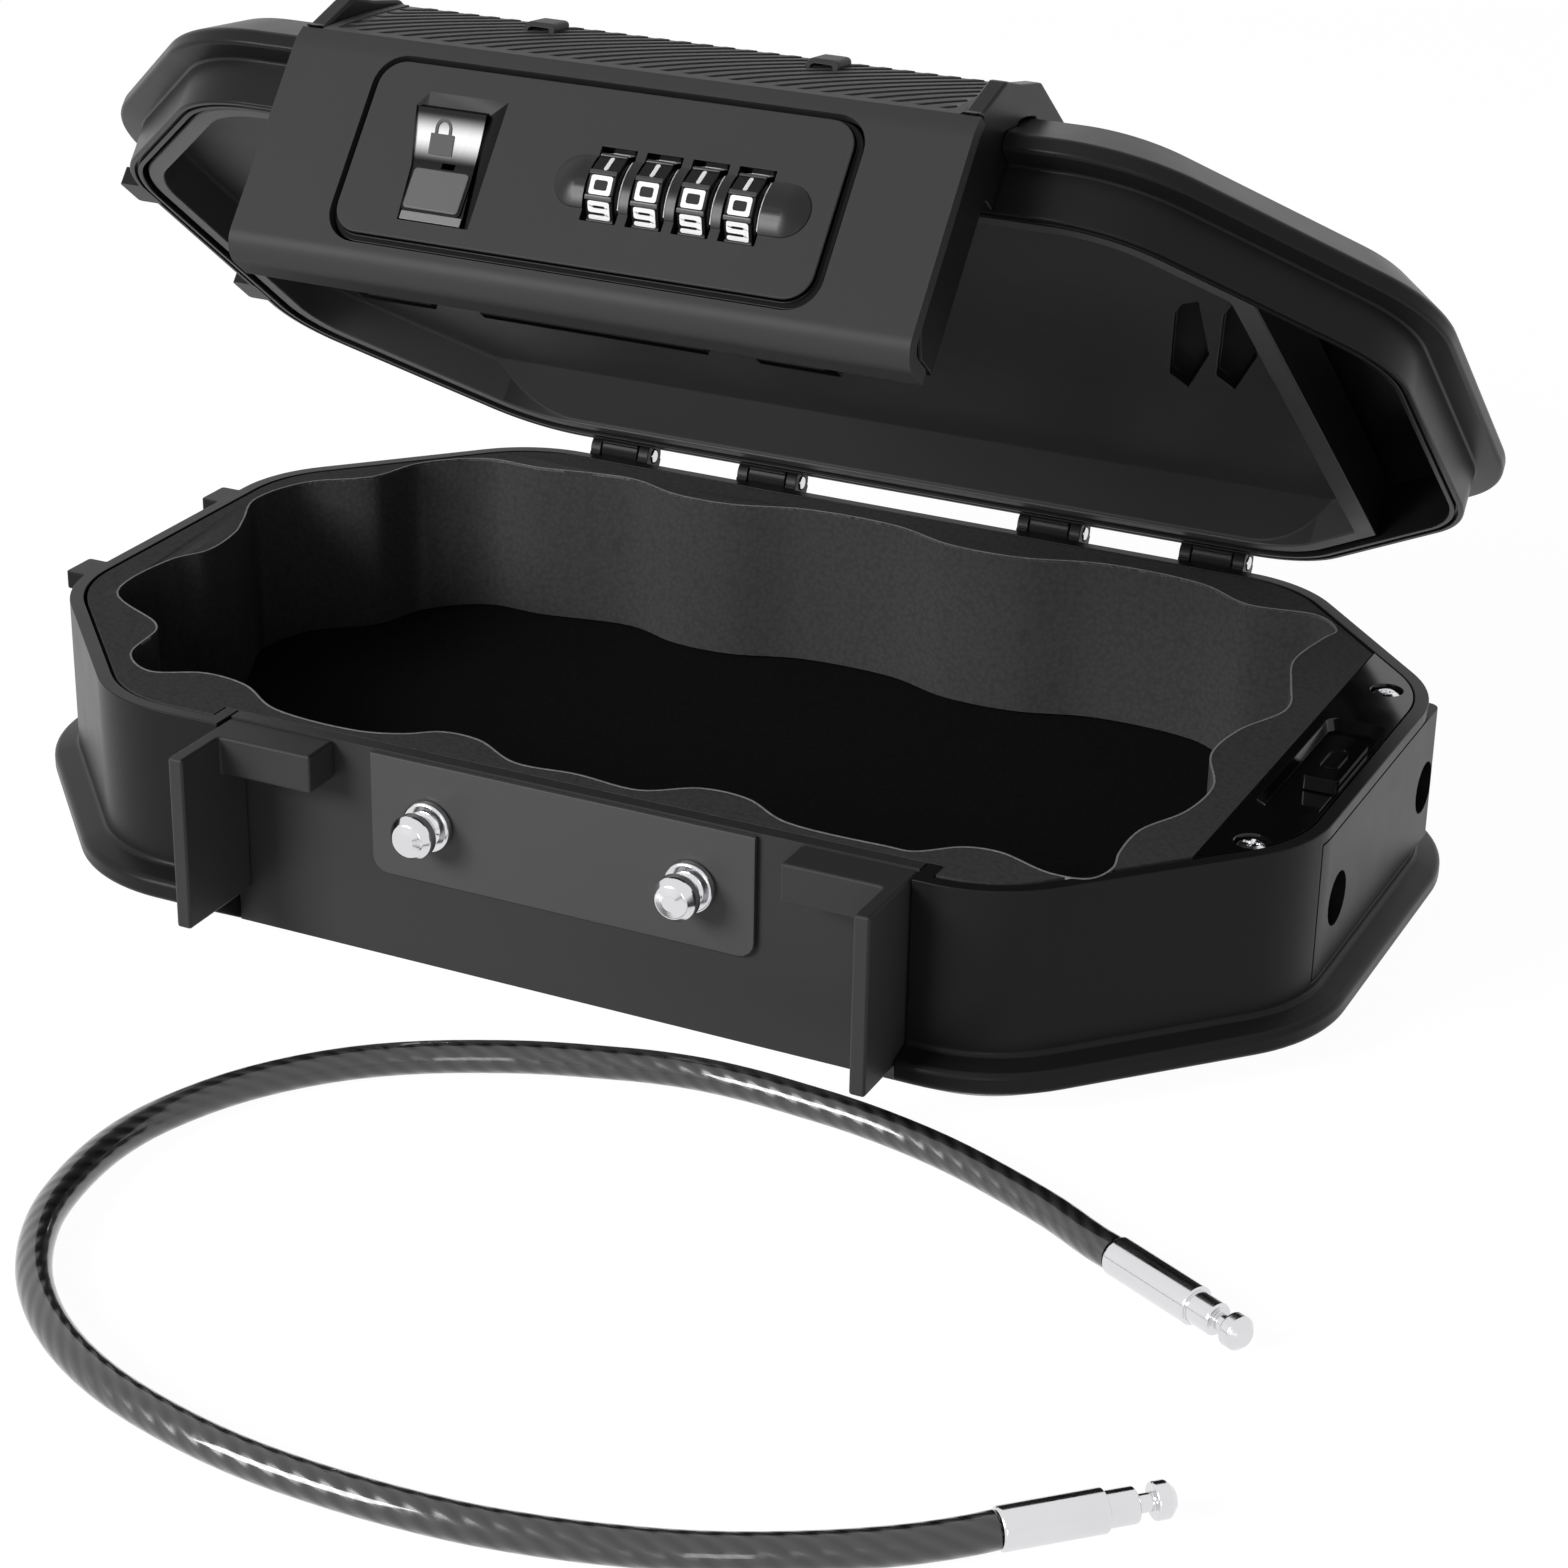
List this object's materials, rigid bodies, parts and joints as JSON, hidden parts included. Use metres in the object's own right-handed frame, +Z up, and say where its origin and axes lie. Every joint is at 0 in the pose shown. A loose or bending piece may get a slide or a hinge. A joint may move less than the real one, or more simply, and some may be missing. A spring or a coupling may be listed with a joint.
{
  "type": "portable car safe",
  "caption": "Eight-sided plastic car safe, open: hinged lid with a dial lock over its front, foam-lined tray with steel studs, cable lock in the right end and a loose steel cable.",
  "frame": {"origin": "centre of the flat underside of the base", "axes": "+X to the right along the length, +Y from the lock to the hinges, +Z up"},
  "size_m": [0.3227, 0.3557, 0.1844],
  "materials": {
    "shell_plastic": "satin charcoal",
    "front_steel": "satin charcoal coating",
    "striker_steel": "satin grey coating",
    "polished_steel": "polished",
    "dark_steel": "plain",
    "foam": "closed cell foam, matte",
    "liner_plastic": "matte",
    "gloss_black": "glossy",
    "thumb_grey": "satin grey",
    "dial_black": "glossy, white digits",
    "brass": "plain",
    "cable_sleeve": "clear dark sleeve over stranded steel"
  },
  "bodies": {
    "base": {"base_shell": "shell_plastic", "front_panel": "front_steel", "striker_plate": "striker_steel", "stud_left": "polished_steel", "stud_right": "polished_steel", "stud_nut_left": "dark_steel", "stud_nut_right": "dark_steel", "guard_bracket_left": "shell_plastic", "guard_bracket_right": "shell_plastic", "foam_insert": "foam", "floor_liner": "foam", "cable_lock_body": "shell_plastic", "cable_lock_cover": "gloss_black", "cover_screw_1": "polished_steel", "cover_screw_2": "polished_steel", "cable_end_plate": "shell_plastic", "hinge_ears_1": "shell_plastic", "hinge_ears_2": "shell_plastic", "hinge_ears_3": "shell_plastic", "hinge_ears_4": "shell_plastic", "hinge_pin_1": "polished_steel", "hinge_pin_2": "polished_steel", "hinge_pin_3": "polished_steel", "hinge_pin_4": "polished_steel"},
    "lid": {"hinge_barrel_1": "shell_plastic", "hinge_barrel_2": "shell_plastic", "hinge_barrel_3": "shell_plastic", "hinge_barrel_4": "shell_plastic", "lid_shell": "shell_plastic", "lid_tray": "liner_plastic", "lock_housing": "shell_plastic", "housing_back": "dark_steel", "cheek_left": "shell_plastic", "cheek_right": "shell_plastic", "grip": "shell_plastic", "top_band": "shell_plastic", "grip_loop_left": "shell_plastic", "grip_loop_right": "shell_plastic", "lock_panel": "shell_plastic", "lock_frame": "dark_steel", "dial_axle": "polished_steel", "slide_tray": "gloss_black"},
    "dial_one": {"dial_1": "dial_black", "code_cam_1": "brass"},
    "dial_two": {"dial_2": "dial_black", "code_cam_2": "brass"},
    "dial_three": {"dial_3": "dial_black", "code_cam_3": "brass"},
    "dial_four": {"dial_4": "dial_black", "code_cam_4": "brass"},
    "lock_slide": {"thumb_slide": "thumb_grey"},
    "lock_latch": {"latch": "dark_steel"},
    "cable_release": {"cable_thumb": "gloss_black", "cable_key_plate": "dark_steel"},
    "security_cable": {"cable": "cable_sleeve", "cable_end_a": "polished_steel", "cable_end_b": "polished_steel"}
  },
  "joints": [
    {"name": "lid_hinge", "type": "hinge", "parent": "base", "child": "lid", "pos_m": [0, 0.0938, 0.0464], "axis": [-1, 0, 0], "range_deg": [-38.7, 55]},
    {"name": "dial_1_spin", "type": "hinge", "parent": "lid", "child": "dial_one", "pos_m": [0.009, -0.06873, 0.16021], "axis": [-1, 0, 0], "continuous": true},
    {"name": "dial_2_spin", "type": "hinge", "parent": "lid", "child": "dial_two", "pos_m": [0.0184, -0.06873, 0.16021], "axis": [-1, 0, 0], "continuous": true},
    {"name": "dial_3_spin", "type": "hinge", "parent": "lid", "child": "dial_three", "pos_m": [0.0278, -0.06873, 0.16021], "axis": [-1, 0, 0], "continuous": true},
    {"name": "dial_4_spin", "type": "hinge", "parent": "lid", "child": "dial_four", "pos_m": [0.0372, -0.06873, 0.16021], "axis": [-1, 0, 0], "continuous": true},
    {"name": "thumb_travel", "type": "slide", "parent": "lid", "child": "lock_slide", "axis": [0, 0.6252, 0.7804], "range_m": [0, 0.009]},
    {"name": "latch_travel", "type": "slide", "parent": "lid", "child": "lock_latch", "axis": [1, 0, 0], "range_m": [0, 0.00675]},
    {"name": "cable_thumb_travel", "type": "slide", "parent": "base", "child": "cable_release", "axis": [0, -1, 0], "range_m": [0, 0.006]},
    {"name": "cable_pull", "type": "slide", "parent": "base", "child": "security_cable", "axis": [0, -1, 0], "range_m": [0, 0.2]}
  ],
  "couplings": [
    {"joint": "latch_travel", "follows": "thumb_travel", "ratio": 0.75}
  ]
}
